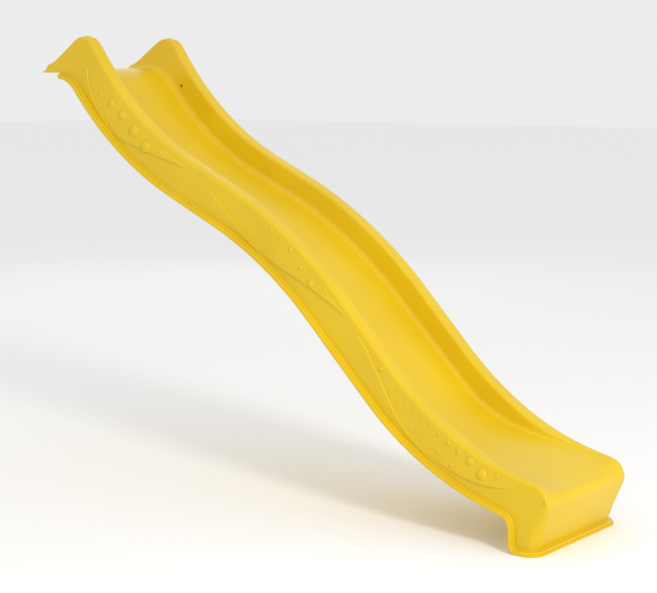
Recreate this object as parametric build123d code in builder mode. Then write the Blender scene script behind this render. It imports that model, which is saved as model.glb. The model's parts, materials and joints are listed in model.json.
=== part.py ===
from build123d import *

import os
from math import atan2, cos, degrees, pi, radians, sin, tan

# Wave slide for a garden platform: a hollow, double-walled plastic moulding with a deck lip that is screwed to
# the platform, a wavy trough between two side rails, and a foot block that stands on the ground.
#
# Millimetres, +Z up. The slide runs down along -Y and is symmetric about X = 0. The origin is on the ground,
# under the middle of the slide.

# Overall sizes
run = 2280.0                # from the end of the lip to the nose, along Y
platform_height = 1500.0    # ground to the underside of the lip
rail_span = 498.0           # width over the side rails, without the flange

# Sheets, seam and flange
skin = 3.5                  # wall of the upper sheet
pan = 3.0                   # wall of the underside sheet
seam_upper = 8.0            # flange layer that belongs to the upper sheet
seam_lower = 7.0            # flange layer that belongs to the underside sheet
flange_reach = 20.0         # how far the flange stands out from the skirts and the front wall
flange_corner = 56.0        # its corner radius in plan at the foot
flange_edge = 2.5           # rounding of its outer edges
flange_end = 18.0           # corner radius in plan where it ends below the lip

# Side rails and trough
rail_width = 57.0           # top of a rail
rail_round = 12.0           # rounding of its outer edge, and of the foot's front corners
wall_draft = 7.2            # degrees that the trough's side walls lean outward
wall_depth = 95.0           # depth at which the trough is rail_span - 2 * rail_width wide
floor_round = 30.0          # between the trough's floor and its side walls

# Lip over the platform
lip_overhang = 95.0         # how far the lip lies on the platform
lip_thickness = 17.0        # deck to platform
lip_rail = 30.0             # height of the rails at the end of the lip
lip_slant = 24.0            # lean of the lip's end
edge_drop = 22.0            # the step that comes down in front of the platform's edge
edge_flat = 65.0            # length of the near-level run in front of that step
edge_fall = 8.0             # how far that run falls
screw_spacing = 300.0       # between the two screw holes in the lip
screw_hole = 8.0
screw_inset = 45.0          # from the end of the lip

# Ears, where a child holds on at the top
ear_foot = 53.0             # distances back from the end of the lip
ear_back = 182.0
ear_front = 246.0
ear_back_height = 129.0     # heights above the platform
ear_front_height = 140.0

# Foot block
nose_height = 212.0         # where the trough's line would meet the front wall's line
nose_round = 62.0
nose_lead = 19.1            # how far those lines would meet in front of the rounded nose
front_rake = 19.0           # degrees that the front wall leans back under the nose
foot_length = 135.0         # nose to heel
heel_height = 107.0
heel_lean = 6.0             # how far the heel leans back over that height
heel_round = 26.0           # where the heel meets the ground
exit_drop = 45.0            # fall of the trough's floor from above the front wall to its end

# Tack-offs: hollow cones of the underside sheet that carry the trough's floor
tack_top = 16.0             # radius at the floor
tack_angle = 14.0           # degrees
tack_rows = 85.0            # distance of a row from the centre line
tack_count = 9              # in each row
tack_first = 0.17           # shares of the floor's length where a row starts and ends
tack_last = 0.89
tack_reach = 130.0          # longer than the deepest hollow
tack_gap = 0.3

# Vent plugs in the underside
vent_hole = 8.0
vent_cap = 15.0
vent_cap_height = 2.0
vent_stem = 9.0
vent_barb = 9.2
vent_tip = 5.0
vent_gap = 0.1

# Water connection through the left rail, seen by someone sitting at the top
outlet_setback = 288.6      # from the end of the lip to the floor's point under the outlet
outlet_height = 43.5        # above that point, square to the floor
outlet_boss = 16.0
boss_stand = 0.3            # at its lower edge, in front of the leaning wall
boss_depth = 4.0            # behind the wall
outlet_head = 9.0
outlet_head_height = 1.4
outlet_head_round = 0.6
outlet_bore = 3.0
outlet_shank = 7.0
spacer_size = 15.0
seal_size = 25.0
seal_height = 1.5
nut_across_flats = 21.0
nut_height = 5.0
nut_chamfer = 0.8
nipple_size = 13.0
nipple_inset = 0.5          # from the outside of the flange
nipple_chamfer = 1.0
nozzle_short = 3.0          # how far the nozzle stops short of the nipple's end
groove_starts = (3.0, 7.5)  # from the nut
groove_width = 2.0
groove_depth = 1.2
connection_gap = 0.1

half_span = rail_span / 2
half_trough = half_span - rail_width
tip = run / 2
front = -run / 2
platform_edge = tip - lip_overhang
deck = platform_height + lip_thickness
flange_half = half_span + flange_reach
front_lean = tan(radians(front_rake))


def wave(along, up):
    """A point of the wave, as shares of the run from the nose and of the platform's height."""
    return front + along * run, up * platform_height


nose_corner = (front - nose_lead, nose_height)
front_base = (nose_corner[0] + nose_height * front_lean, 0.0)

# Top of the rails from the lip to the nose: corners of a line of straight runs, each with the radius of its bend
rail_line = [
    ((tip - lip_slant, platform_height + lip_rail), 8.0),
    ((tip - ear_foot, platform_height + lip_rail + 8.0), 120.0),
    ((tip - ear_back, platform_height + ear_back_height), 80.0),
    ((tip - ear_front, platform_height + ear_front_height), 70.0),
    (wave(0.7895, 0.8769), 0.526 * run),
    (wave(0.4588, 0.6497), 0.790 * run),
    (wave(0.2329, 0.2997), 0.526 * run),
    (wave(0.1206, 0.1865), 0.417 * run),
    (nose_corner, nose_round),
]

# Underside, from the foot back up to the lip
under_line = [
    (front_base, 0.0),
    ((front + foot_length, 0.0), heel_round),
    ((front + foot_length + heel_lean, heel_height), 38.0),
    (wave(0.2204, 0.1449), 0.487 * run),
    (wave(0.5009, 0.5673), 0.636 * run),
    (wave(0.8202, 0.7851), 0.592 * run),
    ((platform_edge - edge_flat, platform_height - edge_drop - edge_fall), 110.0),
    ((platform_edge, platform_height - edge_drop), 0.0),
    ((platform_edge, platform_height), 0.0),
    ((tip, platform_height), 0.0),
]

# Floor of the trough, from beyond the lip to beyond the nose
floor_line = [
    ((tip + 60.0, deck), 0.0),
    ((tip - 205.0, deck), 190.0),
    (wave(0.7961, 0.8123), 0.540 * run),
    (wave(0.4917, 0.6111), 0.780 * run),
    (wave(0.2250, 0.2175), 0.219 * run),
    ((front - 80.0, nose_height - exit_drop), 0.0),
]


def turn(before, here, after):
    """Signed turn in radians at `here`, on the way from `before` to `after`."""
    first = atan2(here[1] - before[1], here[0] - before[0])
    second = atan2(after[1] - here[1], after[0] - here[0])
    return (second - first + pi) % (2 * pi) - pi


def fitted(corners, radii, closed):
    """The radii, cut back where two bends would not fit on the straight run between them."""
    count = len(corners)
    reach = []
    for i, radius in enumerate(radii):
        if not closed and i in (0, count - 1):
            reach.append(0.0)
        else:
            angle = turn(corners[i - 1], corners[i], corners[(i + 1) % count])
            reach.append(radius * tan(abs(angle) / 2))
    share = [1.0] * count
    for i in range(count if closed else count - 1):
        after = (i + 1) % count
        length = (Vector(*corners[after]) - Vector(*corners[i])).length
        fit = min(1.0, 0.98 * length / max(reach[i] + reach[after], 1e-6))
        share[i] = min(share[i], fit)
        share[after] = min(share[after], fit)
    return [radius * s for radius, s in zip(radii, share)]


def moved(outline, inward):
    """A closed outline after each side, from corner i to the next, moves inward by inward[i]."""
    corners = [corner for corner, _ in outline]
    radii = fitted(corners, [radius for _, radius in outline], closed=True)
    points, bends = [], []
    for i, here in enumerate(corners):
        before, after = corners[i - 1], corners[(i + 1) % len(corners)]
        angle = turn(before, here, after)
        along = (Vector(*here) - Vector(*before)).normalized()
        onward = (Vector(*after) - Vector(*here)).normalized()
        first = Vector(*here) + Vector(-along.Y, along.X) * inward[i - 1]
        second = Vector(*here) + Vector(-onward.Y, onward.X) * inward[i]
        gap = second - first
        point = first + along * ((gap.X * onward.Y - gap.Y * onward.X) / sin(angle))
        points.append((point.X, point.Y))
        change = (inward[i - 1] + inward[i]) / 2
        bends.append(max(radii[i] + (-change if angle > 0 else change), 0.0) if radii[i] else 0.0)
    return points, bends


def side_sketch(outline, inward):
    """Sketch on the slide's middle plane of a closed outline with its sides moved inward."""
    points, bends = moved(outline, inward)
    with BuildSketch(Plane.YZ) as sketch:
        with BuildLine():
            FilletPolyline(*points, radius=bends, close=True)
        make_face()
    return sketch.sketch


floor_corners = [corner for corner, _ in floor_line]
floor_radii = fitted(floor_corners, [radius for _, radius in floor_line], closed=False)[1:-1]
with BuildLine(Plane.YZ) as floor_builder:
    FilletPolyline(*floor_corners, radius=floor_radii)
floor_path = floor_builder.wire()


def trough_section(plane, outset):
    """Cross-section of the trough on a plane that stands across its floor."""
    lean = tan(radians(wall_draft))
    floor_half = half_trough - wall_depth * lean + outset / cos(radians(wall_draft))
    height = 260.0
    with BuildSketch(plane) as section:
        with BuildLine():
            FilletPolyline(
                (-floor_half + outset * lean, -outset),
                (floor_half - outset * lean, -outset),
                (floor_half + height * lean, height),
                (-floor_half - height * lean, height),
                radius=(floor_round + outset, floor_round + outset, 0, 0),
                close=True,
            )
        make_face()
    return section.sketch


def cut_trough(outset):
    """Takes the trough, larger all round by outset, out of the part in hand, one straight or bend at a time."""
    for edge in floor_path.edges():
        start = Plane(edge @ 0, x_dir=(1, 0, 0), z_dir=edge % 0)
        section = trough_section(start, outset)
        if edge.geom_type == GeomType.CIRCLE:
            bend = (edge % 0).cross(edge % 1).X
            axis = Axis(edge.arc_center, (1 if bend > 0 else -1, 0, 0))
            sweep_angle = degrees(edge.length / edge.radius)
            revolve(section, axis=axis, revolution_arc=sweep_angle, mode=Mode.SUBTRACT)
        else:
            extrude(section, amount=edge.length, mode=Mode.SUBTRACT)


outline = rail_line + under_line
rail_sides = len(rail_line)            # sides 0 to rail_sides - 1 are skin, and so is the lip's end, the last
under_sides = len(under_line) - 1


def body_sketch(skin_in, under_in):
    """Side of the body, with the rails, nose, front and lip end moved in, and the underside moved in."""
    return side_sketch(outline, [skin_in] * rail_sides + [under_in] * under_sides + [skin_in])


def flange_sketch(low, high):
    """Side of one flange layer, from the platform's edge to the front of the foot, above the underside line."""
    base = [((front_base[0] - flange_reach, 0.0), 0.0)] + under_line[1:-2]
    count = len(base)
    above = 2 * platform_height
    closed = base + [((platform_edge, above), 0.0), ((base[0][0][0], above), 0.0)]
    low_points, low_bends = moved(closed, [low] * count + [0.0] * 2)
    high_points, high_bends = moved(closed, [high] * (count - 1) + [low] + [0.0] * 2)
    points = low_points[:count] + high_points[:count][::-1]
    bends = low_bends[:count] + high_bends[:count][::-1]
    with BuildSketch(Plane.YZ) as sketch:
        with BuildLine():
            FilletPolyline(*points, radius=bends, close=True)
        make_face()
    return sketch.sketch


def flange_layer(low, high, edge_height):
    """One layer of the flange, with rounded corners in front and its outer edge at edge_height rounded all round."""
    with BuildPart() as layer:
        extrude(flange_sketch(low, high), amount=flange_half, both=True)
        fillet(layer.edges().filter_by(Axis.Z).group_by(Axis.Y)[0], radius=flange_corner)
        fillet(layer.edges().filter_by(Axis.Z).group_by(Axis.Y)[-1], radius=flange_end)
        outer_edges = layer.edges().sort_by_distance((flange_half, front + foot_length / 2, edge_height))
        fillet(outer_edges[0], radius=flange_edge)
    return layer.part


def rail_edges():
    """Outer edges of the body's skin, from the end of the lip over the rails and down the front wall."""
    sides = faces().filter_by(Plane.YZ).sort_by(Axis.X)
    skin_edges = []
    for side in (sides[0], sides[-1]):
        chain = side.edges().sort_by_distance((side.center().X, front, nose_height))
        skin_edges.append(chain[0])
    return skin_edges


def floor_share(y):
    """Share of the floor's length at which it has come down to y, found by halving."""
    low, high = 0.0, 1.0
    for _ in range(40):
        middle = (low + high) / 2
        if (floor_path @ middle).Y > y:
            low = middle
        else:
            high = middle
    return low


# Where the water comes out, and the flat boss on the trough's wall around it
outlet_share = floor_share(tip - outlet_setback)
outlet_floor, outlet_way = floor_path @ outlet_share, floor_path % outlet_share
outlet_y = outlet_floor.Y + outlet_way.Z * outlet_height
outlet_z = outlet_floor.Z - outlet_way.Y * outlet_height
wall_lean = tan(radians(wall_draft))
outlet_wall = half_trough - (wall_depth - outlet_height) * wall_lean
boss_face = outlet_wall - outlet_boss / 2 * wall_lean - boss_stand
boss_back = outlet_wall + skin + boss_depth


def rod(start, end, radius, bore=0.0, mode=Mode.ADD):
    """Round piece along the water connection's axis, from x = start to x = end."""
    plane = Plane(origin=(start, outlet_y, outlet_z), x_dir=(0, 1, 0), z_dir=(1, 0, 0))
    with BuildSketch(plane) as disc:
        Circle(radius)
        if bore:
            Circle(bore, mode=Mode.SUBTRACT)
    extrude(disc.sketch, amount=end - start, mode=mode)


# Hollow between the two sheets. The lip stays solid between its rails, where the screws go through.
with BuildPart() as hollow:
    extrude(body_sketch(skin, pan), amount=half_span - skin, both=True)
    fillet(rail_edges(), radius=rail_round - skin)
    cut_trough(skin)
    with Locations((0, platform_edge - seam_lower, platform_height)):
        Box(2 * half_trough, 2 * lip_overhang, 4 * lip_thickness, align=(Align.CENTER, Align.MIN, Align.CENTER),
            mode=Mode.SUBTRACT)
    rod(outlet_wall - outlet_boss, boss_back, outlet_boss / 2, mode=Mode.SUBTRACT)

with BuildPart() as screw_holes:
    with BuildSketch(Plane.XY.offset(platform_height - 1)):
        with Locations((0, tip - screw_inset)):
            with GridLocations(screw_spacing, 0, 2, 1):
                Circle(screw_hole / 2)
    extrude(amount=lip_thickness + 2)

upper_flange = flange_layer(seam_lower, seam_lower + seam_upper, seam_lower + seam_upper)
lower_flange = flange_layer(0.0, seam_lower, 0.0)

# Upper sheet: trough, rails, ears, skirts, foot block, lip and the upper layer of the flange
with BuildPart() as upper_shell:
    extrude(body_sketch(0.0, seam_lower), amount=half_span, both=True)
    fillet(rail_edges(), radius=rail_round)
    add(upper_flange)
    cut_trough(0.0)
    rod(boss_face, boss_back, outlet_boss / 2)
    add(hollow.part, mode=Mode.SUBTRACT)
    add(screw_holes.part, mode=Mode.SUBTRACT)
    rod(boss_face - 1, boss_back + 1, outlet_shank / 2 + connection_gap, mode=Mode.SUBTRACT)
    rod(half_span - 2 * skin, half_span + 1, spacer_size / 2 + connection_gap, mode=Mode.SUBTRACT)
upper_shell.part.label = "upper_shell"

# Underside sheet: pan, lower layers of the flange and of the lip, and the tack-offs that carry the floor
tack_planes = []
for i in range(tack_count):
    along = tack_first + (tack_last - tack_first) * i / (tack_count - 1)
    direction = floor_path % along
    down = Vector(0, -direction.Z, direction.Y)
    tack_planes.append(Plane(origin=floor_path @ along, x_dir=(1, 0, 0), z_dir=down))


def tack_cones(depth, radius, length):
    """Cones that widen downward from `depth` below the floor, in two rows."""
    spread = length * tan(radians(tack_angle))
    for plane in tack_planes:
        with Locations(plane.offset(depth)):
            with Locations((-tack_rows, 0), (tack_rows, 0)):
                Cone(radius, radius + spread, length, align=(Align.CENTER, Align.CENTER, Align.MIN))


with BuildPart() as tack_skins:
    tack_cones(skin + tack_gap, tack_top, tack_reach)
    extrude(body_sketch(skin, pan / 2), amount=half_trough, both=True, mode=Mode.INTERSECT)

with BuildPart() as tack_hollows:
    tack_cones(skin + tack_gap + pan, tack_top, 1.2 * tack_reach)

under_corners = [corner for corner, _ in under_line]
under_radii = fitted(under_corners, [radius for _, radius in under_line], closed=False)


def straight_middle(i):
    """Plane at the middle of the straight run from corner i of the underside, facing out of the slide."""
    reach = []
    for j in (i, i + 1):
        angle = abs(turn(under_corners[j - 1], under_corners[j], under_corners[j + 1]))
        reach.append(under_radii[j] * tan(angle / 2))
    start, end = Vector(0, *under_corners[i]), Vector(0, *under_corners[i + 1])
    along = (end - start).normalized()
    middle = start + along * (reach[0] + ((end - start).length - reach[1] - reach[0]) / 2)
    return Plane(origin=middle, x_dir=(1, 0, 0), z_dir=(0, along.Z, -along.Y))


vent_planes = [straight_middle(3), straight_middle(4)]

with BuildPart() as underside_shell:
    extrude(body_sketch(0.0, 0.0), amount=half_span, both=True)
    extrude(body_sketch(-skin, seam_lower), amount=half_span, both=True, mode=Mode.SUBTRACT)
    add(lower_flange)
    add(hollow.part, mode=Mode.SUBTRACT)
    add(tack_skins.part)
    add(tack_hollows.part, mode=Mode.SUBTRACT)
    add(screw_holes.part, mode=Mode.SUBTRACT)
    for plane in vent_planes:
        with Locations(plane):
            Cylinder(vent_hole / 2, 4 * pan, mode=Mode.SUBTRACT)
underside_shell.part.label = "underside_shell"

# Vent plugs: a cap outside, a stem through the hole and a barb behind the sheet
with BuildPart() as vent_plugs:
    for plane in vent_planes:
        with Locations(plane):
            Cylinder(vent_cap / 2, vent_cap_height, align=(Align.CENTER, Align.CENTER, Align.MIN))
            Cylinder(vent_hole / 2 - vent_gap, vent_stem, align=(Align.CENTER, Align.CENTER, Align.MAX))
        with Locations(plane.offset(-pan - 2 * vent_gap)):
            Cone(vent_tip / 2, vent_barb / 2, vent_stem - pan - 2 * vent_gap,
                 align=(Align.CENTER, Align.CENTER, Align.MAX))
vent_plugs.part.label = "vent_plugs"

# Water connection, from the trough outward
seal_face = half_span + seal_height
nut_face = seal_face + nut_height
nipple_end = flange_half - nipple_inset

with BuildPart() as water_nozzle:
    rod(boss_face - outlet_head_height, boss_face, outlet_head / 2, outlet_bore / 2)
    fillet(water_nozzle.edges().filter_by(GeomType.CIRCLE).group_by(Axis.X)[0][-1:], radius=outlet_head_round)
    rod(boss_face, nipple_end - nozzle_short, outlet_shank / 2, outlet_bore / 2)
water_nozzle.part.label = "water_nozzle"

with BuildPart() as nozzle_spacer:
    rod(boss_back, half_span, spacer_size / 2, outlet_shank / 2 + connection_gap)
nozzle_spacer.part.label = "nozzle_spacer"

with BuildPart() as nozzle_seal:
    rod(half_span, seal_face, seal_size / 2, outlet_shank / 2 + connection_gap)
nozzle_seal.part.label = "nozzle_seal"

with BuildPart() as nozzle_nut:
    with BuildSketch(Plane(origin=(seal_face, outlet_y, outlet_z), x_dir=(0, 1, 0), z_dir=(1, 0, 0))):
        RegularPolygon(nut_across_flats / 2, 6, major_radius=False)
        Circle(outlet_shank / 2 + connection_gap, mode=Mode.SUBTRACT)
    extrude(amount=nut_height)
    chamfer(nozzle_nut.faces().sort_by(Axis.X)[-1].outer_wire().edges(), length=nut_chamfer)
nozzle_nut.part.label = "nozzle_nut"

with BuildPart() as hose_nipple:
    rod(nut_face, nipple_end, nipple_size / 2, outlet_shank / 2 + connection_gap)
    for start in groove_starts:
        rod(nut_face + start, nut_face + start + groove_width, nipple_size, nipple_size / 2 - groove_depth,
            mode=Mode.SUBTRACT)
    end_edges = hose_nipple.edges().filter_by(GeomType.CIRCLE).group_by(Axis.X)[-1]
    chamfer(end_edges.sort_by(SortBy.RADIUS)[-1], length=nipple_chamfer)
hose_nipple.part.label = "hose_nipple"

os.makedirs("parts", exist_ok=True)
for piece in (
    upper_shell,
    underside_shell,
    vent_plugs,
    water_nozzle,
    nozzle_spacer,
    nozzle_seal,
    nozzle_nut,
    hose_nipple,
):
    export_step(piece.part, f"parts/{piece.part.label}.step")
    print(piece.part.label, len(piece.part.solids()), piece.part.is_valid, round(piece.part.volume / 1000), "cm3")
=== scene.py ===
# %% [markdown]
# # A wave slide, from its frame to its finish
# The slide is one hollow plastic moulding: a wavy trough between two side rails, with grab ears at the top,
# a lip that lies on a platform and a foot block that stands on the ground. The exact part comes in first.
# Its box says where everything is, and the measured box is kept.

# %% Open the part
import json
from math import atan2, ceil, cos, pi, radians, sin, tan

import bmesh
import bpy
import numpy as np
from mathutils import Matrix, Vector


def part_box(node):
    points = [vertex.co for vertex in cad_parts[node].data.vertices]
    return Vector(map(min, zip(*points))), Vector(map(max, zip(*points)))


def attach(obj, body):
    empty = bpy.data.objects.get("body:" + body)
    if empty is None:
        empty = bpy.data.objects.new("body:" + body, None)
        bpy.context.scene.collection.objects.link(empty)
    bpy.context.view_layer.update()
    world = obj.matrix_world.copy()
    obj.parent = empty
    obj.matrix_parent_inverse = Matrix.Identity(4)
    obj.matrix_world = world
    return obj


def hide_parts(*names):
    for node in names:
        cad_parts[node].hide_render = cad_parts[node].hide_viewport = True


bpy.ops.wm.read_factory_settings(use_empty=True)
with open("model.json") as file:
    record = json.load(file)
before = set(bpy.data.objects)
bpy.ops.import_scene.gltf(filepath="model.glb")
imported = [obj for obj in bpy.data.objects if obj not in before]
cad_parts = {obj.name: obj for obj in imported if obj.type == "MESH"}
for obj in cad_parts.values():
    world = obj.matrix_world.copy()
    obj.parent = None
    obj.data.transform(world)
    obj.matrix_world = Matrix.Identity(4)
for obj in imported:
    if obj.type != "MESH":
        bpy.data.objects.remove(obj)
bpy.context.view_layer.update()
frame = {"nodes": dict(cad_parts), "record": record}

# %% [markdown]
# ## Sizes
# The mounts in the record give the platform's height, its edge and the screws in the lip. The shell's box
# gives the length and the width. Every other size is set in its own cell, in metres unless the cell says
# otherwise.

# %% Main sizes
mounts = {mount["name"]: mount for mount in frame["record"]["mounts"]}
shell_low, shell_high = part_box("upper_shell")
tip = shell_high.y
front = -tip
run = tip - front
flange_reach = 0.020
flange_half = shell_high.x
half_span = flange_half - flange_reach
platform_height = mounts["lip_rest"]["pos_m"][2]
platform_edge = mounts["platform_butt"]["pos_m"][1]
lip_thickness = 0.017
deck = platform_height + lip_thickness
seam_lower, seam_upper = 0.007, 0.008
flange_top = seam_lower + seam_upper
print(f"run {run:.3f} m, rails {2 * half_span:.3f} m apart outside, platform {platform_height:.3f} m")

# %% [markdown]
# ## Lines made of straight runs and bends
# The side of such a slide can be drawn with straight runs joined by bends. Three lines are enough: the top
# of the rails, the underside, and the floor of the trough. Each corner below holds its place in the side
# view and the radius of its bend. One function turns the corners into points, and it can move the whole
# line to its left, which is how a flange keeps the same thickness round every bend.


# %% Points along a line with bends
def line_points(corners, left=0.0, spacing=0.006, turn_step=radians(5)):
    """Points of the line, moved to its left. The number of points doesn't depend on how far it moves."""
    place = np.array([corner for corner, _ in corners], float)
    radius = np.array([bend for _, bend in corners], float)
    along = np.diff(place, axis=0)
    length = np.linalg.norm(along, axis=1)
    along = along / length[:, None]
    side = np.stack([-along[:, 1], along[:, 0]], 1)
    turns = np.zeros(len(place))
    for i in range(1, len(place) - 1):
        cross = along[i - 1][0] * along[i][1] - along[i - 1][1] * along[i][0]
        turns[i] = atan2(cross, along[i - 1] @ along[i])
    reach = radius * np.tan(np.abs(turns) / 2)
    share = np.ones(len(place))
    for i in range(len(length)):
        fit = min(1.0, 0.98 * length[i] / max(reach[i] + reach[i + 1], 1e-9))
        share[i], share[i + 1] = min(share[i], fit), min(share[i + 1], fit)
    radius = radius * share
    points = [place[0] + side[0] * left]
    for i in range(1, len(place) - 1):
        corner = place[i] + (side[i - 1] + side[i]) * left / (1 + side[i - 1] @ side[i])
        sign = 1 if turns[i] > 0 else -1
        bend = max(radius[i] - sign * left, 0.0006)
        start = corner - along[i - 1] * bend * tan(abs(turns[i]) / 2)
        straight = length[i - 1] - reach[i - 1] * share[i - 1] - reach[i] * share[i]
        points += fill_in(points[-1], start, max(1, ceil(straight / spacing)))
        centre = start + side[i - 1] * sign * bend
        steps = max(2, ceil(abs(turns[i]) / turn_step), ceil(abs(turns[i]) * radius[i] / spacing))
        for k in range(1, steps + 1):
            angle = turns[i] * k / steps
            arm = start - centre
            points.append(centre + np.array([arm[0] * cos(angle) - arm[1] * sin(angle),
                                             arm[0] * sin(angle) + arm[1] * cos(angle)]))
    straight = length[-1] - reach[-2] * share[-2]
    points += fill_in(points[-1], place[-1] + side[-1] * left, max(1, ceil(straight / spacing)))
    return np.array(points)


def fill_in(start, end, steps):
    """Points after start, up to and with end."""
    return [start + (end - start) * k / steps for k in range(1, steps + 1)]


def tangents(points):
    """Unit direction of travel at each point."""
    step = np.gradient(points, axis=0)
    return step / np.linalg.norm(step, axis=1)[:, None]


def wave(along, up):
    """A point of the wave, as shares of the run from the nose and of the platform's height."""
    return front + along * run, up * platform_height


# %% The three lines
nose_corner = (front - 0.0191, 0.212)
nose_round = 0.062
front_rake = radians(19)
front_lean = tan(front_rake)
front_base = (nose_corner[0] + nose_corner[1] * front_lean, 0.0)
rail_line = [
    ((tip, platform_height), 0.0),
    ((tip - 0.024, platform_height + 0.030), 0.008),
    ((tip - 0.053, platform_height + 0.038), 0.120),
    ((tip - 0.182, platform_height + 0.129), 0.080),
    ((tip - 0.246, platform_height + 0.140), 0.070),
    (wave(0.7895, 0.8769), 0.526 * run),
    (wave(0.4588, 0.6497), 0.790 * run),
    (wave(0.2329, 0.2997), 0.526 * run),
    (wave(0.1206, 0.1865), 0.417 * run),
    (nose_corner, nose_round),
    (front_base, 0.0),
]
under_line = [
    (front_base, 0.0),
    ((front + 0.135, 0.0), 0.026),
    ((front + 0.141, 0.107), 0.038),
    (wave(0.2204, 0.1449), 0.487 * run),
    (wave(0.5009, 0.5673), 0.636 * run),
    (wave(0.8202, 0.7851), 0.592 * run),
    ((platform_edge - 0.065, platform_height - 0.030), 0.110),
    ((platform_edge, platform_height - 0.022), 0.0),
]
lip_slant = 0.024 / 0.030
floor_last = wave(0.2250, 0.2175)


def wall_y(z):
    """Where the front wall is at a height."""
    return front_base[0] - z * front_lean


# The floor meets the rounded nose at `crest`; the two tangents of the nose below it cross at `brow`.
nose_height = 0.167
nose_centre = (front + nose_round, nose_height)
crest_angle = radians(158.8)
crest = (nose_centre[0] + nose_round * cos(crest_angle), nose_centre[1] + nose_round * sin(crest_angle))
wall_angle = pi + front_rake
half_turn = (wall_angle - crest_angle) / 2
brow_reach = nose_round / cos(half_turn)
brow = (nose_centre[0] + brow_reach * cos(crest_angle + half_turn),
        nose_centre[1] + brow_reach * sin(crest_angle + half_turn))
spine_line = [
    ((tip - lip_slant * seam_lower, platform_height + seam_lower), 0.0),
    ((tip - lip_slant * lip_thickness, deck), 0.006),
    ((tip - 0.205, deck), 0.190),
    (wave(0.7961, 0.8123), 0.540 * run),
    (wave(0.4917, 0.6111), 0.780 * run),
    (floor_last, 0.219 * run),
    (crest, 0.018),
    (brow, nose_round),
    ((wall_y(flange_top), flange_top), 0.0),
]
rail_points = line_points(rail_line, spacing=0.003, turn_step=radians(3))
spine_points = line_points(spine_line)
print(len(spine_points), "stations along the floor, which meets the nose at", [round(c, 3) for c in crest])

# %% [markdown]
# ## The upper shell
# The trough and its rails are one skin. At each station along the floor stands a section: flat floor, round
# into the wall, wall leaning outward, round onto the rail, round over its outer edge. The rail is tall at
# the ears and falls to nothing at the foot, where the section opens into a dish, lies down and becomes the
# front wall. The round beside the floor gets tighter on the way down. Lofting the section through the
# stations gives the skin.


# %% Height of the rail over each station
def rail_over(start, direction):
    """How far the rail's line is from a point in a direction, and the rail's own direction there."""
    a, b = rail_points[:-1], rail_points[1:]
    step = b - a
    cross = direction[0] * step[:, 1] - direction[1] * step[:, 0]
    cross = np.where(np.abs(cross) < 1e-12, 1e-12, cross)
    gap = a - start
    reach = (gap[:, 0] * step[:, 1] - gap[:, 1] * step[:, 0]) / cross
    share = (gap[:, 0] * direction[1] - gap[:, 1] * direction[0]) / cross
    hit = np.where((share >= -1e-6) & (share <= 1 + 1e-6) & (reach > -0.002), reach, np.inf)
    best = int(np.argmin(hit))
    if not np.isfinite(hit[best]):
        return 0.0, step[-1] / np.linalg.norm(step[-1])
    return max(float(hit[best]), 0.0), step[best] / np.linalg.norm(step[best])


def ease(x):
    """0 below 0, 1 above 1 and a smooth rise between."""
    x = np.clip(x, 0.0, 1.0)
    return x * x * (3 - 2 * x)


spine_way = tangents(spine_points)
upward = np.stack([spine_way[:, 1], -spine_way[:, 0]], 1)
wall_drop, foot_length = 0.030, 0.2
on_wall = (spine_points[:, 1] < crest[1] - wall_drop) & (spine_points[:, 0] < front + foot_length)
wall_start = int(np.argmax(on_wall))
fade = ease((np.arange(len(upward)) - wall_start) / (len(upward) - 1 - wall_start))[:, None]
upward = upward * (1 - fade) + np.array([-1.0, 0.0]) * fade
upward /= np.linalg.norm(upward, axis=1)[:, None]
rail_height, rail_way = np.zeros(len(upward)), np.zeros((len(upward), 2))
for i, (point, direction) in enumerate(zip(spine_points, upward)):
    rail_height[i], rail_way[i] = rail_over(point, direction)
rail_height[wall_start:] = 0.0
least_lean = 0.45
nose_zone_start, nose_zone_length = 0.06, 0.14
lean = np.clip(np.abs((rail_way * spine_way).sum(1)), least_lean, 1.0)
near_nose = 1 - ease((spine_points[:, 0] - front - nose_zone_start) / nose_zone_length)
lean += (1 - lean) * near_nose
print("rail height from", round(rail_height.min(), 4), "to", round(rail_height.max(), 4), "m")

# %% The section
wall_draft = radians(7.2)
rail_width, wall_height = 0.057, 0.095
floor_half = half_span - rail_width - wall_height * tan(wall_draft)
floor_round_top, floor_round_foot, inner_round = 0.030, 0.019, 0.011
least_height = 0.045
floor_shares = (0, 0.2, 0.4, 0.6, 0.72, 0.80, 0.86, 0.91, 0.955)
dish_start, dish_power, dish_margin = 0.060, 1.7, 0.003
skirt_margin = 1.5


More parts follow.
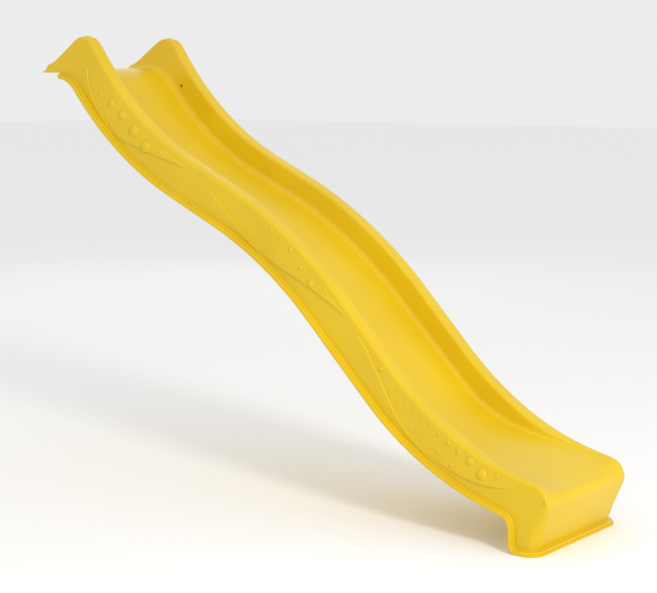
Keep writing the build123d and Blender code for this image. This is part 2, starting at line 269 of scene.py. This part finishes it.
def section(height, floor_round, outer_round, slope, spread):
    """Half of the section, from the middle outward: distances from the middle and heights over the floor.
    Towards the foot, spread goes from 0 to 1 and the trough opens into a dish as wide as the slide."""
    full = max(height, least_height)
    squash = height / full
    sweep = pi / 2 - wall_draft
    flat_end = floor_half - floor_round * tan(sweep / 2)
    rows = [(flat_end * share, 0.0) for share in floor_shares]
    for angle in np.linspace(0, sweep, 9):
        rows.append((flat_end + floor_round * sin(angle), floor_round * (1 - cos(angle))))
    top_start = floor_half + full * tan(wall_draft) + inner_round * tan(sweep / 2)
    rim = [(top_start - inner_round * sin(angle), full - inner_round * (1 - cos(angle)) / slope)
           for angle in np.linspace(sweep, 0, 8)]
    foot = rows[-1]
    wall = (rim[0][0] - foot[0], rim[0][1] - foot[1])
    rows += [(foot[0] + wall[0] * k / 6, foot[1] + wall[1] * k / 6) for k in range(1, 6)]
    top_end = half_span - outer_round
    dish_end = top_end - dish_margin
    wider = 1 + spread * (dish_end / top_start - 1)
    opened = []
    for x, v in rows + rim:
        rise = np.clip((x * wider - dish_start) / (dish_end - dish_start), 0, 1) ** dish_power
        opened.append((x * wider, v * squash * (1 - spread) + height * rise * spread))
    rows, top_start = opened, opened[-1][0]
    rows += [(top_start + (top_end - top_start) * k / 4, height) for k in range(1, 4)]
    for angle in np.linspace(0, pi / 2, 11):
        rows.append((top_end + outer_round * sin(angle), height - outer_round * (1 - cos(angle)) / slope))
    rows.append((half_span, height - outer_round * skirt_margin / slope))
    return rows


# %% The loft
along_spine = np.r_[0, np.cumsum(np.linalg.norm(np.diff(spine_points, axis=0), axis=1))]
rail_round, lip_round, corner_round = 0.013, 0.004, 0.036
# Each zone is where a change starts along the spine and how long it takes; the last two count from the
# wall.
lip_zone, front_zone, dish_zone = (0.03, 0.10), (-0.01, 0.12), (-0.42, 0.34)
past_nose = along_spine - along_spine[wall_start]
from_tip = ease((along_spine - lip_zone[0]) / lip_zone[1])
down_front = ease((past_nose - front_zone[0]) / front_zone[1])
spreads = ease((past_nose - dish_zone[0]) / dish_zone[1])
outer_rounds = lip_round + (rail_round - lip_round) * from_tip + (corner_round - rail_round) * down_front
tighter = ease(along_spine / along_spine[wall_start])
floor_rounds = floor_round_top + (floor_round_foot - floor_round_top) * tighter
loft = []
for i in range(len(spine_points)):
    rows = section(rail_height[i], floor_rounds[i], outer_rounds[i], lean[i], spreads[i])
    loft.append([(-x, *(spine_points[i] + upward[i] * v)) for x, v in rows])
loft = np.array(loft)
under_lip = platform_height + seam_lower
loft[:, -1, 2] = np.maximum(loft[:, -1, 2], np.where(loft[:, -1, 1] > platform_edge, under_lip, 0.0))
print("loft of", loft.shape[0], "stations by", loft.shape[1], "rows")

# %% [markdown]
# ## The flange
# Where the upper sheet meets the underside sheet, both turn outward and are welded together. The upper
# layer has a small hollow where it leaves the skirt and a rounded outer edge, and it laps a little over the
# joint. It follows the underside at the sides, goes down the heel, round the foot and across the front, and
# it ends under the lip with a round corner. The same short profile is carried along that whole way.

# %% Profile of the upper layer
root_round, edge_round = 0.004, 0.0032
flange_profile = [(root_round * (1 - cos(a)), flange_top + root_round * (1 - sin(a)))
                  for a in np.linspace(0, pi / 2, 5)]
flange_profile += [(flange_reach - edge_round * (1 - sin(a)), flange_top - edge_round * (1 - cos(a)))
                   for a in np.linspace(0, pi / 2, 6)]
weld, lap, lap_top, lap_width = 0.0002, 0.0012, 0.0004, 0.0010
flange_profile += [(flange_reach + weld, seam_lower + lap_top), (flange_reach + weld, seam_lower - lap),
                   (flange_reach - lap_width, seam_lower - lap), (0.0, seam_lower)]
flange_end, clearance = 0.018, 0.001
end_steps, end_points = 6, 21
print(len(flange_profile), "places across the flange")


def flange_limit(y):
    """Greatest distance of the flange from the middle: the corner where it ends below the lip is round."""
    past = np.clip(y - (platform_edge - flange_end), 0, flange_end)
    return half_span + flange_reach + weld - flange_end + np.sqrt(flange_end**2 - past**2)


def flange_row(reach, height):
    """One line of the flange at the -X side, from the middle of the front to the platform's edge."""
    share = reach / flange_reach
    root_y = wall_y(flange_top)
    front_y = root_y + (front_base[0] - flange_reach - root_y) * share
    bend = corner_round + reach
    side_x = -(half_span + reach)
    centre = (side_x + bend, front_y + bend)
    row = [(centre[0] * k / 5, front_y, height) for k in range(5)]
    row += [(centre[0] - bend * sin(a), centre[1] - bend * cos(a), height)
            for a in np.linspace(0, pi / 2, 13)]
    start = (front_base[0] + corner_round + clearance, 0.0)
    side = line_points([(start, 0.0)] + under_line[1:], left=height)
    coarse = len(side) - end_steps
    steps = np.r_[np.arange(coarse), np.linspace(coarse, len(side) - 1, end_points)]
    side = np.stack([np.interp(steps, np.arange(len(side)), side[:, k]) for k in (0, 1)], 1)
    return row + [(-min(-side_x, flange_limit(y)), y, z) for y, z in side]


flange = np.array([flange_row(reach, height) for reach, height in flange_profile])
print("flange of", flange.shape[0], "lines by", flange.shape[1], "points")


# %% Put the half together and mirror it
class Skin:
    """Points and faces of the half at the -X side, which is then mirrored."""

    def __init__(self):
        self.points, self.faces = [], []

    def grid(self, rows, outward):
        """Faces between neighbouring rows. `outward` is False where the rows run the other way round."""
        start, (count, width) = len(self.points), rows.shape[:2]
        self.points += [tuple(p) for p in rows.reshape(-1, 3)]
        for i in range(count - 1):
            for j in range(width - 1):
                a, b = start + i * width + j, start + (i + 1) * width + j
                face = (a, a + 1, b + 1, b)
                self.faces.append(face if outward else face[::-1])
        return np.arange(start, start + count * width).reshape(count, width)

    def panel(self, indices):
        """One flat face with many corners."""
        self.faces.append(tuple(int(i) for i in indices))

    def make(self, name, both=True, sharp=40, merge=0.00002):
        """A mesh of the points and faces, with the other side added if `both` is set."""
        mesh = bpy.data.meshes.new(name)
        points, faces = list(self.points), list(self.faces)
        if both:
            count = len(points)
            points += [(-x, y, z) for x, y, z in points]
            faces += [tuple(count + i for i in face[::-1]) for face in self.faces]
        mesh.from_pydata(points, [], faces)
        work = bmesh.new()
        work.from_mesh(mesh)
        bmesh.ops.remove_doubles(work, verts=work.verts, dist=merge)
        bmesh.ops.dissolve_degenerate(work, edges=work.edges, dist=merge)
        for face in work.faces:
            face.smooth = True
        work.to_mesh(mesh)
        work.free()
        mesh.set_sharp_from_angle(angle=radians(sharp))
        piece = bpy.data.objects.new(name, mesh)
        bpy.context.scene.collection.objects.link(piece)
        triangles = sum(len(p.vertices) - 2 for p in mesh.polygons)
        print(name, len(mesh.vertices), "vertices", triangles, "triangles")
        return piece


skin = Skin()
loft_index = skin.grid(loft, True)
flange_index = skin.grid(flange, False)
skin.panel(flange_index[:, -1])
clear_of_corner = [i for i in flange_index[0] if skin.points[i][0] < 0.0001 - half_span
                   and loft[-1, -1, 1] + clearance < skin.points[i][1] < platform_edge - seam_lower]
lip_points = [(-half_span, platform_edge - seam_lower, under_lip),
              (-half_span, tip - lip_slant * seam_lower - clearance, under_lip)]
lip_index = list(range(len(skin.points), len(skin.points) + 2))
skin.points += lip_points
skin.panel((list(loft_index[:, -1]) + clear_of_corner + lip_index)[::-1])
shell = skin.make("moulded_shell")

# %% [markdown]
# ## Screw holes in the lip
# Two screws hold the lip to the platform. Each hole is opened in the deck by taking out the faces around it
# and joining the gap's edge to a circle, which goes down into the plastic.


# %% Open the holes
def open_hole(work, centre, radius, clear, depth, level=0.004):
    """A round hole in a level area of the mesh."""
    away = lambda v: (v.co.xy - centre.xy).length
    near = [f for f in work.faces
            if all(away(v) < clear and abs(v.co.z - centre.z) < level for v in f.verts)]
    bmesh.ops.delete(work, geom=near, context="FACES")
    edges = [e for e in work.edges if e.is_boundary and all(away(v) < clear for v in e.verts)]
    corners = {v for e in edges for v in e.verts}
    rim = sorted(corners, key=lambda v: atan2(v.co.y - centre.y, v.co.x - centre.x))
    rings = [rim]
    for drop in (0.0, depth):
        ring = []
        for v in rim:
            arm = (v.co.xy - centre.xy).normalized() * radius
            ring.append(work.verts.new((centre.x + arm.x, centre.y + arm.y, centre.z - drop)))
        rings.append(ring)
    for outer, inner in zip(rings, rings[1:]):
        for i in range(len(rim)):
            j = (i + 1) % len(rim)
            work.faces.new((outer[i], outer[j], inner[j], inner[i])).smooth = True
    return len(near)


screws = mounts["platform_screws"]
hole_radius = screws["dims"]["hole_r_mm"] / 1000
hole_clear, hole_depth = 0.013, 0.014
work = bmesh.new()
work.from_mesh(shell.data)
for side in (-0.5, 0.5):
    place = Vector((side * screws["dims"]["spacing_x_mm"] / 1000, screws["pos_m"][1], deck))
    print("faces opened", open_hole(work, place, hole_radius, hole_clear, hole_depth))
work.to_mesh(shell.data)
work.free()
shell.data.set_sharp_from_angle(angle=radians(40))

# %% [markdown]
# ## The stepped line on the skirts
# A low step flows along each skirt like a wave. Where the line comes nearer the underside on its way down
# the slide, the plastic below it stands a little proud; where it climbs away from the underside, the
# plastic above it does. The line is given in millimetres, by its height over the underside at some
# distances from the platform's edge, with a smooth curve between.

# %% Places on the skirt
under_base = line_points(under_line)[::-1]
under_way = tangents(under_base)
under_inward = np.stack([under_way[:, 1], -under_way[:, 0]], 1)
under_along = np.r_[0, np.cumsum(np.linalg.norm(np.diff(under_base, axis=0), axis=1))]


def on_skirt(along, height):
    """Side view place of a point, from its distance along the underside and its height over it."""
    here = np.array([np.interp(along, under_along, under_base[:, k]) for k in (0, 1)])
    inward = np.array([np.interp(along, under_along, under_inward[:, k]) for k in (0, 1)])
    return here + inward / np.linalg.norm(inward, axis=0) * height


def smooth_line(knots, at):
    """A smooth curve through the knots, from each knot's neighbours."""
    x, y = np.array(knots, float).T
    slope = np.gradient(y, x)
    i = np.clip(np.searchsorted(x, at) - 1, 0, len(x) - 2)
    gap = x[i + 1] - x[i]
    t = (at - x[i]) / gap
    return ((2 * t**3 - 3 * t**2 + 1) * y[i] + (t**3 - 2 * t**2 + t) * gap * slope[i]
            + (3 * t**2 - 2 * t**3) * y[i + 1] + (t**3 - t**2) * gap * slope[i + 1])


# %% The line and how the two sides differ
step_line = [
    (76, 127), (96, 97), (151, 64), (235, 38), (307, 28), (371, 29), (463, 53), (563, 82), (659, 106),
    (756, 118), (841, 115), (902, 104), (979, 77), (1075, 45), (1155, 31), (1235, 32), (1315, 48),
    (1400, 74), (1476, 98), (1552, 120), (1629, 129), (1693, 123), (1794, 102), (1927, 65), (2027, 43),
    (2131, 35), (2252, 41), (2401, 68), (2445, 84), (2480, 104),
]
step_rise, sunk, full_slope = 0.0055, 0.0003, 0.12
start_fade, end_fade = 0.05, 0.10
columns = np.linspace(step_line[0][0], step_line[-1][0], 520) / 1000
line_height = smooth_line(step_line, columns * 1000) / 1000
steepness = np.gradient(line_height, columns)
ends = ease((columns - columns[0]) / start_fade) * ease((columns[-1] - columns) / end_fade)
rise = step_rise * np.tanh(-steepness / full_slope) * ends
skirt_low, below_rail, probe = 0.019, 0.022, 0.01
skirt_top = []
for along in columns:
    base, here = on_skirt(along, 0.0), on_skirt(along, probe)
    skirt_top.append(rail_over(base, (here - base) / probe)[0] - below_rail)
skirt_top = np.array(skirt_top)
print("the line turns over at", int((np.diff(np.sign(rise)) != 0).sum()), "places")


def relief(rise, line, top, height, least=0.002):
    """How proud the skirt stands: one side falls away slowly from the line, the other is flat."""
    below = np.clip((height - skirt_low) / np.maximum(line - skirt_low, least), 0, 1)
    above = np.clip((top - height) / np.maximum(top - line, least), 0, 1)
    share = np.where(rise > 0, np.where(height <= line, below, 0), np.where(height >= line, above, 0))
    return np.abs(rise) * share - sunk * (1 - share)


# %% The relief of both skirts
edge = ((-0.0030, 1.0), (-0.0018, 0.94), (-0.0008, 0.70), (0.0, 0.0),
        (0.0008, 0.70), (0.0018, 0.94), (0.0030, 1.0))
rows = []
for share in (0.0, 0.25, 0.5, 0.75):
    height = skirt_low + (line_height + edge[0][0] - skirt_low) * share
    rows.append((height, relief(rise, line_height, skirt_top, height)))
for offset, part in edge:
    height = line_height + offset
    proud = relief(rise, line_height, skirt_top, height)
    rows.append((height, (proud + sunk) * part - sunk))
for share in (0.2, 0.4, 0.6, 0.8, 1.0):
    height = line_height + edge[-1][0] + (skirt_top - line_height - edge[-1][0]) * share
    rows.append((height, relief(rise, line_height, skirt_top, height)))
step_rows = []
for height, proud in rows[::-1]:
    y, z = on_skirt(columns, height)
    step_rows.append(np.stack([-half_span - proud, y, z], 1))
step = Skin()
step.grid(np.array(step_rows).transpose(1, 0, 2), True)
step_piece = step.make("skirt_relief", sharp=60)

# %% [markdown]
# ## Bubbles and grip ribs
# Raised bubbles run along the skirts in three shoals, and the ears have low ribs across their crowns for
# small hands. Both are one thing repeated at different sizes, so one Geometry Nodes tree makes them: it
# puts a flattened ball at every point, scales it by the point's own `size`, tips it by its `tilt`, and
# makes it real.


# %% The tree
def spot_tree(name, material):
    """A tree that puts a flattened ball at each point. Its inputs are the ball's half sizes."""
    tree = bpy.data.node_groups.new(name, "GeometryNodeTree")
    tree.interface.new_socket("Points", in_out="INPUT", socket_type="NodeSocketGeometry")
    for label in ("Half X", "Half Y", "Half Z"):
        tree.interface.new_socket(label, in_out="INPUT", socket_type="NodeSocketFloat")
    tree.interface.new_socket("Round", in_out="INPUT", socket_type="NodeSocketInt")
    tree.interface.new_socket("Spots", in_out="OUTPUT", socket_type="NodeSocketGeometry")

    def node(kind, **links):
        made = tree.nodes.new(kind)
        for key, value in links.items():
            socket = made.inputs[key.replace("_", " ")]
            if isinstance(value, bpy.types.NodeSocket):
                tree.links.new(value, socket)
            else:
                socket.default_value = value
        return made

    start = tree.nodes.new("NodeGroupInput").outputs
    ball = node("GeometryNodeMeshUVSphere", Segments=start["Round"], Rings=start["Round"], Radius=1.0)
    halves = node("ShaderNodeCombineXYZ", X=start["Half X"], Y=start["Half Y"], Z=start["Half Z"])
    flat = node("GeometryNodeTransform", Geometry=ball.outputs["Mesh"], Scale=halves.outputs[0])
    size = node("GeometryNodeInputNamedAttribute", Name="size")
    tilt = node("GeometryNodeInputNamedAttribute", Name="tilt")
    turn = node("ShaderNodeCombineXYZ", X=tilt.outputs["Attribute"])
    spots = node("GeometryNodeInstanceOnPoints", Points=start["Points"], Instance=flat.outputs["Geometry"],
                 Scale=size.outputs["Attribute"], Rotation=turn.outputs[0])
    real = node("GeometryNodeRealizeInstances", Geometry=spots.outputs["Instances"])
    soft = node("GeometryNodeSetShadeSmooth", Geometry=real.outputs["Geometry"])
    done = node("GeometryNodeSetMaterial", Geometry=soft.outputs["Geometry"], Material=material)
    tree.links.new(done.outputs["Geometry"], tree.nodes.new("NodeGroupOutput").inputs["Spots"])
    return tree


def spotted(name, tree, points, sizes, tilts, **values):
    """A plain mesh of the tree's result on these points."""
    mesh = bpy.data.meshes.new(name)
    mesh.from_pydata(points, [], [])
    for label, numbers in (("size", sizes), ("tilt", tilts)):
        mesh.attributes.new(label, "FLOAT", "POINT").data.foreach_set("value", numbers)
    piece = bpy.data.objects.new(name, mesh)
    bpy.context.scene.collection.objects.link(piece)
    modifier = piece.modifiers.new("spots", "NODES")
    modifier.node_group = tree
    for item in tree.interface.items_tree:
        if item.name in values:
            modifier[item.identifier] = values[item.name]
    ready = piece.evaluated_get(bpy.context.evaluated_depsgraph_get())
    result = bpy.data.meshes.new_from_object(ready)
    piece.modifiers.clear()
    piece.data = result
    print(name, "has", len(points), "spots and", len(result.polygons), "faces")
    return piece


# %% [markdown]
# ## Shader maths as plain sums
# A material is easier to read as an expression than as a pile of nodes. The small class below wraps a
# socket, so that `1 - mask * 0.2` adds the Math nodes by itself. Any other node comes from one method.


# %% The helper
class Wire:
    """A number that changes over a surface. Sums on it add Math nodes."""

    def __init__(self, paint, socket):
        self.paint, self.socket = paint, socket

    def _sum(self, operation, a, b):
        return self.paint.node("ShaderNodeMath", {"operation": operation}, a, b)

    def __add__(self, other):
        return self._sum("ADD", self, other)

    def __sub__(self, other):
        return self._sum("SUBTRACT", self, other)

    def __rsub__(self, other):
        return self._sum("SUBTRACT", other, self)

    def __mul__(self, other):
        return self._sum("MULTIPLY", self, other)

    __radd__, __rmul__ = __add__, __mul__


class Paint:
    """A material and its tree."""

    def __init__(self, name):
        self.material = bpy.data.materials.new(name)
        self.material.use_nodes = True
        self.tree = self.material.node_tree
        self.shader = self.tree.nodes["Principled BSDF"]

    def node(self, kind, settings=None, *inputs, out=0, **named):
        made = self.tree.nodes.new(kind)
        for key, value in (settings or {}).items():
            if key == "stops":
                ramp = made.color_ramp
                while len(ramp.elements) < len(value):
                    ramp.elements.new(1.0)
                for element, (position, colour) in zip(ramp.elements, value):
                    element.position, element.color = position, colour
            else:
                setattr(made, key, value)
        for key, value in list(enumerate(inputs)) + list(named.items()):
            socket = made.inputs[key.replace("_", " ") if isinstance(key, str) else key]
            if isinstance(value, Wire):
                self.tree.links.new(value.socket, socket)
            else:
                socket.default_value = value
        return Wire(self, made.outputs[out])

    def feed(self, **values):
        """Values or links for the shader's own sockets."""
        for key, value in values.items():
            socket = self.shader.inputs[key.replace("_", " ")]
            if isinstance(value, Wire):
                self.tree.links.new(value.socket, socket)
            else:
                socket.default_value = value


# %% [markdown]
# ## Yellow polyethylene
# Moulded polyethylene is coloured all through. Its surface is a satin gloss with a faint orange-peel
# texture from the mould, and the gloss changes slowly from place to place, which breaks long reflections.

# %% The yellow finish
yellow = Paint("yellow_polyethylene")
place = yellow.node("ShaderNodeTexCoord", out="Object")
drift = yellow.node("ShaderNodeTexNoise", {}, Vector=place, Scale=3.0, Detail=3.0)
peel = yellow.node("ShaderNodeTexNoise", {}, Vector=place, Scale=420.0, Detail=2.0)
swell = yellow.node("ShaderNodeTexNoise", {}, Vector=place, Scale=16.0, Detail=2.0)
shades = [(0.30, (0.70, 0.466, 0.005, 1)), (0.72, (0.76, 0.522, 0.007, 1))]
tone = yellow.node("ShaderNodeValToRGB", {"stops": shades}, drift)
bump = yellow.node("ShaderNodeBump", {}, Strength=0.35, Distance=0.0006, Height=peel * 0.16 + swell * 1.6)
yellow.feed(Base_Color=tone, Roughness=drift * 0.10 + 0.30, Normal=bump, Specular_IOR_Level=0.38)
print("yellow tree has", len(yellow.tree.nodes), "nodes")

# %% [markdown]
# ## Dark fittings
# The water connection is black glass-filled nylon: matt, with a fine grain. Its seal is soft rubber, darker
# still.


# %% The dark finishes
def dark_finish(name, light, dark, roughness):
    """A matt dark material between two shades, with a fine grain."""
    paint = Paint(name)
    place = paint.node("ShaderNodeTexCoord", out="Object")
    grain = paint.node("ShaderNodeTexNoise", {}, Vector=place, Scale=900.0, Detail=3.0)
    paint.feed(Base_Color=paint.node("ShaderNodeValToRGB", {"stops": [(0.35, dark), (0.70, light)]}, grain),
               Roughness=grain * 0.15 + roughness,
               Normal=paint.node("ShaderNodeBump", {}, Strength=0.4, Distance=0.0001, Height=grain))
    return paint.material


fitting = dark_finish("black_nylon", (0.035, 0.035, 0.038, 1), (0.022, 0.022, 0.024, 1), 0.38)
rubber = dark_finish("seal_rubber", (0.020, 0.020, 0.020, 1), (0.012, 0.012, 0.012, 1), 0.62)
finishes = {"yellow_plastic": yellow.material, "dark_plastic": fitting, "seal_rubber": rubber}
for part in frame["record"]["subparts"]:
    node = frame["nodes"][part["node"]]
    node.data.materials.clear()
    node.data.materials.append(finishes[part["material_slot"]])
for piece in (shell, step_piece):
    piece.data.materials.append(yellow.material)

# %% Bubbles on both skirts
# In millimetres: how far along the underside, how high over it, and the radius.
bubbles = [
    (130, 109, 7), (207, 88, 11), (279, 103, 15), (355, 109, 19),
    (443, 102, 23), (531, 90, 23), (611, 113, 10),
    (287, 51, 9), (331, 43, 11), (902, 108, 5), (939, 92, 4),
    (1139, 114, 6), (1187, 123, 8), (1235, 126, 8), (1287, 122, 10),
    (1352, 103, 10), (1416, 94, 14), (1464, 131, 7),
    (1388, 127, 5), (1235, 78, 5),
    (1806, 124, 11), (1911, 146, 6), (1951, 134, 4), (1943, 89, 6),
    (1975, 103, 6), (2011, 114, 6), (2047, 122, 6),
    (2087, 130, 7), (2135, 136, 8), (2184, 135, 9), (2236, 128, 11),
    (2292, 109, 15), (2352, 89, 20), (2409, 117, 7),
    (2023, 65, 4), (2055, 68, 6), (2123, 85, 4), (2160, 67, 8), (2232, 57, 8), (2376, 127, 5),
]
dome_rise, sink, over_top = 0.55, 0.30, 0.004
points, sizes = [], []
for along, height, radius in bubbles:
    along, radius = along / 1000, radius / 1000
    top = float(np.interp(along, columns, skirt_top))
    height = min(height / 1000, top - radius + over_top)
    y, z = on_skirt(along, height)
    proud = relief(np.interp(along, columns, rise), np.interp(along, columns, line_height), top, height)
    for side in (-1, 1):
        depth = sink * dome_rise * radius
        points.append((side * (half_span + max(float(proud), 0.0) - depth), float(y), float(z)))
        sizes.append(radius)
spots = spot_tree("raised_spots", yellow.material)
bubble_piece = spotted("skirt_bubbles", spots, points, sizes, [0.0] * len(sizes),
                       **{"Half X": dome_rise, "Half Y": 1.0, "Half Z": 1.0, "Round": 24})

# %% Ribs across the ears
rib_places = (0.942, 0.914, 0.886)
rib_half_length, rib_half_width = 0.019, 0.0046
rib_inset, rib_sink, ear_foot, nearby = 0.029, 0.0010, 0.06, 0.004
ear_y, ear_z = rail_points[::-1, 0], rail_points[::-1, 1]
above = ear_z > platform_height + ear_foot
order = np.argsort(ear_y[above])
ear_y, ear_z = ear_y[above][order], ear_z[above][order]
points, tilts = [], []
for y in rib_places:
    z = float(np.interp(y, ear_y, ear_z))
    ahead = float(np.interp(y + nearby, ear_y, ear_z)) - float(np.interp(y - nearby, ear_y, ear_z))
    for side in (-1, 1):
        points.append((side * (half_span - rib_inset), y, z - rib_sink))
        tilts.append(atan2(ahead, 2 * nearby))
rib_piece = spotted("grip_ribs", spots, points, [1.0] * len(points), tilts,
                    **{"Half X": rib_half_length, "Half Y": rib_half_width, "Half Z": rib_half_width,
                       "Round": 20})

# %% [markdown]
# ## The outlet's seat
# The water outlet's head sits on a small flat boss on the leaning wall of the trough. A short turned ring
# stands for it, from inside the wall to the back of the head.

# %% Seat
head_low, head_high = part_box("water_nozzle")
seat_y, seat_z = (head_low.y + head_high.y) / 2, (head_low.z + head_high.z) / 2
seat_face = head_low.x + 0.0014
seat_radius, seat_depth, seat_bevel = 0.0080, 0.008, 0.0008
turned = [(0.0, 0.0), (seat_radius - seat_bevel, 0.0), (seat_radius, seat_bevel), (seat_radius, seat_depth)]
around = 32
seat = Skin()
ring = np.array([[(seat_face + depth, seat_y + r * cos(t), seat_z + r * sin(t))
                  for r, depth in turned] for t in np.linspace(0, 2 * pi, around + 1)])
seat.grid(ring, True)
seat_piece = seat.make("outlet_seat", both=False)
seat_piece.data.materials.append(yellow.material)

# %% [markdown]
# ## What rides on what
# The slide has no joints, so every piece rides on the one body. The lofted shell stands for the plain shell
# of the part, which stays in the scene, hidden.

# %% Ride
for piece in (shell, step_piece, bubble_piece, rib_piece, seat_piece):
    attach(piece, "root")
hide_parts("upper_shell")

# %% [markdown]
# ## Floor, light and camera
# A pale floor and a pale sky give a plain studio and most of the light. The key lamp stands in front of the
# foot, a little to the -X side, so that it grazes the skirt and shows its relief. Two weak lamps fill in
# from the side and from behind. The camera stands beyond the foot at the -X side and looks across the slide.


# %% Studio
def lamp(name, place, target, size, power):
    """A square area light that points at a target and isn't seen by the camera."""
    data = bpy.data.lights.new(name, "AREA")
    data.shape, data.size, data.energy = "SQUARE", size, power
    made = bpy.data.objects.new(name, data)
    made.location, made.visible_camera = place, False
    made.rotation_euler = (Vector(target) - Vector(place)).to_track_quat("-Z", "Y").to_euler()
    bpy.context.scene.collection.objects.link(made)


floor_mesh = bpy.data.meshes.new("studio_floor")
far = 40
floor_mesh.from_pydata([(-far, -far, 0), (far, -far, 0), (far, far, 0), (-far, far, 0)], [], [(0, 1, 2, 3)])
floor = bpy.data.objects.new("studio_floor", floor_mesh)
bpy.context.scene.collection.objects.link(floor)
pale = Paint("pale_floor")
pale.feed(Base_Color=(0.95, 0.95, 0.95, 1), Roughness=1.0, Specular_IOR_Level=0.0)
floor_mesh.materials.append(pale.material)

world = bpy.data.worlds.new("studio")
world.use_nodes = True
world.node_tree.nodes["Background"].inputs["Color"].default_value = (1.0, 1.0, 1.0, 1)
world.node_tree.nodes["Background"].inputs["Strength"].default_value = 0.84
bpy.context.scene.world = world
middle = (0.0, 0.0, 0.75)
lamp("key", (-2.3, -5.6, 3.6), middle, 1.2, 180)
lamp("side", (-4.5, 2.6, 3.2), middle, 1.2, 8)
lamp("back", (4.6, 4.7, 3.4), (0.0, 0.3, 1.0), 3.2, 15)

camera_data = bpy.data.cameras.new("camera")
eye, look = (-4.3616, -3.5512, 1.4721), (0.7743, 0.6180, -0.1360)
camera_data.sensor_width = 36.0
camera_data.lens = 86.45
camera = bpy.data.objects.new("camera", camera_data)
camera.location = eye
camera.rotation_euler = Vector(look).to_track_quat("-Z", "Y").to_euler()
bpy.context.scene.collection.objects.link(camera)
bpy.context.scene.camera = camera
bpy.context.scene.view_settings.view_transform = "Standard"
